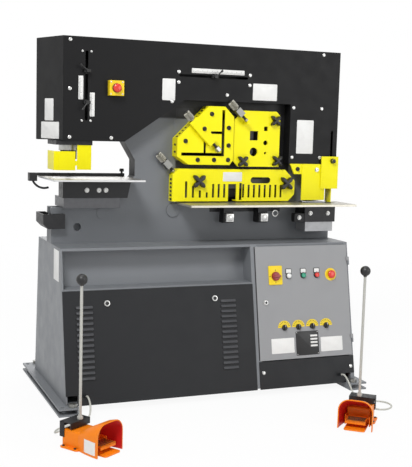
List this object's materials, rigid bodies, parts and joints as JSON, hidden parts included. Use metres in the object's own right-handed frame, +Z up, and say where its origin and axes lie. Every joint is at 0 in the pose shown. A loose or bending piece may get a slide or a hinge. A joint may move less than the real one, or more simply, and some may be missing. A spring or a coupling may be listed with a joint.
{
  "type": "ironworker machine",
  "caption": "Hydraulic ironworker with a punch throat, a rocking shear beam for angle, bar and flat stock, a notcher, a base cabinet with a control door and foot pedals.",
  "frame": {"origin": "on the floor, in the middle of the four anchor holes of the skid rails", "axes": "+X to the operator's right along the machine, -Y towards the operator, +Z up"},
  "size_m": [1.6162, 1.3942, 1.65],
  "materials": {
    "covers": "satin black powder coat",
    "base": "mid grey powder coat",
    "door": "light grey powder coat",
    "panels": "dark grey powder coat",
    "frame": "mid grey paint",
    "guards": "bright yellow powder coat",
    "pedal_shell": "orange paint on cast alloy",
    "steel": "machined steel",
    "tooling": "blackened steel",
    "knobs": "moulded black",
    "red": "moulded red",
    "green": "moulded green",
    "yellow_fittings": "moulded yellow",
    "cord": "pale grey sheath"
  },
  "bodies": {
    "machine": {"base_cabinet": "base", "skid_rails": "base", "front_panel": "panels", "kick_panel": "panels", "fasteners": "steel", "hydraulic_unit": "base", "control_gear": "knobs", "front_frame_plate": "frame", "rear_frame_plate": "frame", "frame_spacers": "frame", "pivot_pin": "steel", "front_cover": "covers", "rear_cover": "covers", "top_cover": "covers", "estop_box": "yellow_fittings", "punch_cylinder": "tooling", "shear_cylinder": "tooling", "die_holder": "tooling", "punch_table": "steel", "slug_box": "tooling", "punch_guard": "guards", "fixed_blades": "steel", "shear_table": "steel", "notch_die": "tooling", "notch_guard": "guards", "angle_guard": "guards", "star_knobs": "knobs", "pedal_bodies": "pedal_shell", "pedal_handles": "steel", "left_pedal_cord": "cord", "right_pedal_cord": "cord"},
    "ram": {"punch_ram": "steel"},
    "beam": {"shear_beam": "base", "moving_blades": "steel"},
    "rod": {"shear_rod": "steel"},
    "door": {"cabinet_door": "door", "door_fittings": "yellow_fittings"},
    "main_switch": {"main_switch_knob": "red"},
    "start": {"start_button": "green"},
    "stop": {"stop_button": "red"},
    "door_stop": {"door_estop": "red"},
    "upper_stop": {"upper_estop": "red"},
    "selector_1": {"selector_knob_1": "knobs"},
    "selector_2": {"selector_knob_2": "knobs"},
    "selector_3": {"selector_knob_3": "knobs"},
    "selector_4": {"selector_knob_4": "knobs"},
    "lock": {"door_lock": "knobs"},
    "left_foot": {"left_treadle": "pedal_shell"},
    "right_foot": {"right_treadle": "pedal_shell"},
    "flat_hold_down": {"flat_guard": "guards"},
    "flat_hold_screw": {"flat_screw": "steel"},
    "bar_hold_down": {"bar_plate": "guards"},
    "bar_hold_screw": {"bar_screw": "steel"},
    "angle_hold_down": {"angle_pad": "steel"},
    "angle_hold_screw": {"angle_screw": "steel"},
    "notch_shield": {"notch_slide_guard": "guards"},
    "back_fence": {"fence": "tooling"},
    "stroke_stop_upper": {"punch_stop_upper": "knobs"},
    "stroke_stop_lower": {"punch_stop_lower": "knobs"},
    "stroke_stop_shear": {"shear_stop": "knobs"}
  },
  "joints": [
    {"name": "ram_stroke", "type": "slide", "parent": "machine", "child": "ram", "axis": [0, 0, -1], "range_m": [0, 0.045]},
    {"name": "beam_rock", "type": "hinge", "parent": "machine", "child": "beam", "pos_m": [-0.138, 0, 0.86], "axis": [0, 1, 0], "range_deg": [0, 4.3]},
    {"name": "rod_stroke", "type": "slide", "parent": "machine", "child": "rod", "axis": [0, 0, -1], "range_m": [0, 0.0525]},
    {"name": "door_hinge", "type": "hinge", "parent": "machine", "child": "door", "pos_m": [0.7245, -0.33461, 0.22337], "axis": [0, 0.1964, 0.9805], "range_deg": [0, 110]},
    {"name": "main_switch_turn", "type": "hinge", "parent": "door", "child": "main_switch", "pos_m": [0.318, -0.26987, 0.55677], "axis": [0, 0.9805, -0.1964], "range_deg": [0, 90]},
    {"name": "start_push", "type": "slide", "parent": "door", "child": "start", "axis": [0, 0.9805, -0.1964], "range_m": [0, 0.003], "stiffness_N_per_m": 900, "springref_m": -0.002},
    {"name": "stop_push", "type": "slide", "parent": "door", "child": "stop", "axis": [0, 0.9805, -0.1964], "range_m": [0, 0.003], "stiffness_N_per_m": 900, "springref_m": -0.002},
    {"name": "door_stop_push", "type": "slide", "parent": "door", "child": "door_stop", "axis": [0, 0.9805, -0.1964], "range_m": [0, 0.005]},
    {"name": "upper_stop_push", "type": "slide", "parent": "machine", "child": "upper_stop", "axis": [0, 1, 0], "range_m": [0, 0.005]},
    {"name": "selector_1_turn", "type": "hinge", "parent": "door", "child": "selector_1", "pos_m": [0.353, -0.31482, 0.31198], "axis": [0, 0.9805, -0.1964], "range_deg": [-70, 70]},
    {"name": "selector_2_turn", "type": "hinge", "parent": "door", "child": "selector_2", "pos_m": [0.429, -0.31482, 0.31198], "axis": [0, 0.9805, -0.1964], "range_deg": [-70, 70]},
    {"name": "selector_3_turn", "type": "hinge", "parent": "door", "child": "selector_3", "pos_m": [0.505, -0.31482, 0.31198], "axis": [0, 0.9805, -0.1964], "range_deg": [-70, 70]},
    {"name": "selector_4_turn", "type": "hinge", "parent": "door", "child": "selector_4", "pos_m": [0.581, -0.31482, 0.31198], "axis": [0, 0.9805, -0.1964], "range_deg": [-70, 70]},
    {"name": "lock_turn", "type": "hinge", "parent": "door", "child": "lock", "pos_m": [0.259, -0.2894, 0.43379], "axis": [0, 0.9805, -0.1964], "range_deg": [0, 90]},
    {"name": "left_treadle_press", "type": "hinge", "parent": "machine", "child": "left_foot", "pos_m": [-0.7203, -0.83394, 0.034], "axis": [0.8387, 0.5446, 0], "range_deg": [0, 10], "stiffness_Nm_per_rad": 6, "springref_deg": -8.59},
    {"name": "right_treadle_press", "type": "hinge", "parent": "machine", "child": "right_foot", "pos_m": [0.43355, -0.87915, 0.034], "axis": [0.7547, -0.6561, 0], "range_deg": [0, 10], "stiffness_Nm_per_rad": 6, "springref_deg": -8.59},
    {"name": "flat_guard_slide", "type": "slide", "parent": "machine", "child": "flat_hold_down", "axis": [-0.7071, 0, 0.7071], "range_m": [0, 0.016]},
    {"name": "flat_screw_turn", "type": "hinge", "parent": "flat_hold_down", "child": "flat_hold_screw", "pos_m": [-0.1445, -0.07, 1.0475], "axis": [-0.7071, 0, 0.7071], "range_deg": [0, 1440]},
    {"name": "bar_plate_slide", "type": "slide", "parent": "machine", "child": "bar_hold_down", "axis": [-0.7071, 0, 0.7071], "range_m": [0, 0.008]},
    {"name": "bar_screw_turn", "type": "hinge", "parent": "bar_hold_down", "child": "bar_hold_screw", "pos_m": [0.163, -0.13, 1.337], "axis": [-0.7071, 0, 0.7071], "range_deg": [0, 720]},
    {"name": "angle_pad_slide", "type": "slide", "parent": "machine", "child": "angle_hold_down", "axis": [-0.7071, 0, 0.7071], "range_m": [0, 0.024]},
    {"name": "angle_screw_turn", "type": "hinge", "parent": "angle_hold_down", "child": "angle_hold_screw", "pos_m": [0.064, -0.128, 1.152], "axis": [-0.7071, 0, 0.7071], "range_deg": [0, 2160]},
    {"name": "notch_shield_slide", "type": "slide", "parent": "machine", "child": "notch_shield", "axis": [0, 0, 1], "range_m": [0, 0.1]},
    {"name": "fence_slide", "type": "slide", "parent": "machine", "child": "back_fence", "axis": [0, 1, 0], "range_m": [-0.035, 0.015]},
    {"name": "stroke_stop_upper_slide", "type": "slide", "parent": "machine", "child": "stroke_stop_upper", "axis": [0, 0, 1], "range_m": [-0.06, 0.075]},
    {"name": "stroke_stop_lower_slide", "type": "slide", "parent": "machine", "child": "stroke_stop_lower", "axis": [0, 0, 1], "range_m": [-0.065, 0.05]},
    {"name": "stroke_stop_shear_slide", "type": "slide", "parent": "machine", "child": "stroke_stop_shear", "axis": [1, 0, 0], "range_m": [-0.16, 0.16]}
  ],
  "couplings": [
    {"joint": "rod_stroke", "follows": "beam_rock", "m_per_rad": 0.68},
    {"joint": "flat_screw_turn", "follows": "flat_guard_slide", "rad_per_m": 1570.8},
    {"joint": "bar_screw_turn", "follows": "bar_plate_slide", "rad_per_m": 1570.8},
    {"joint": "angle_screw_turn", "follows": "angle_pad_slide", "rad_per_m": 1570.8}
  ]
}
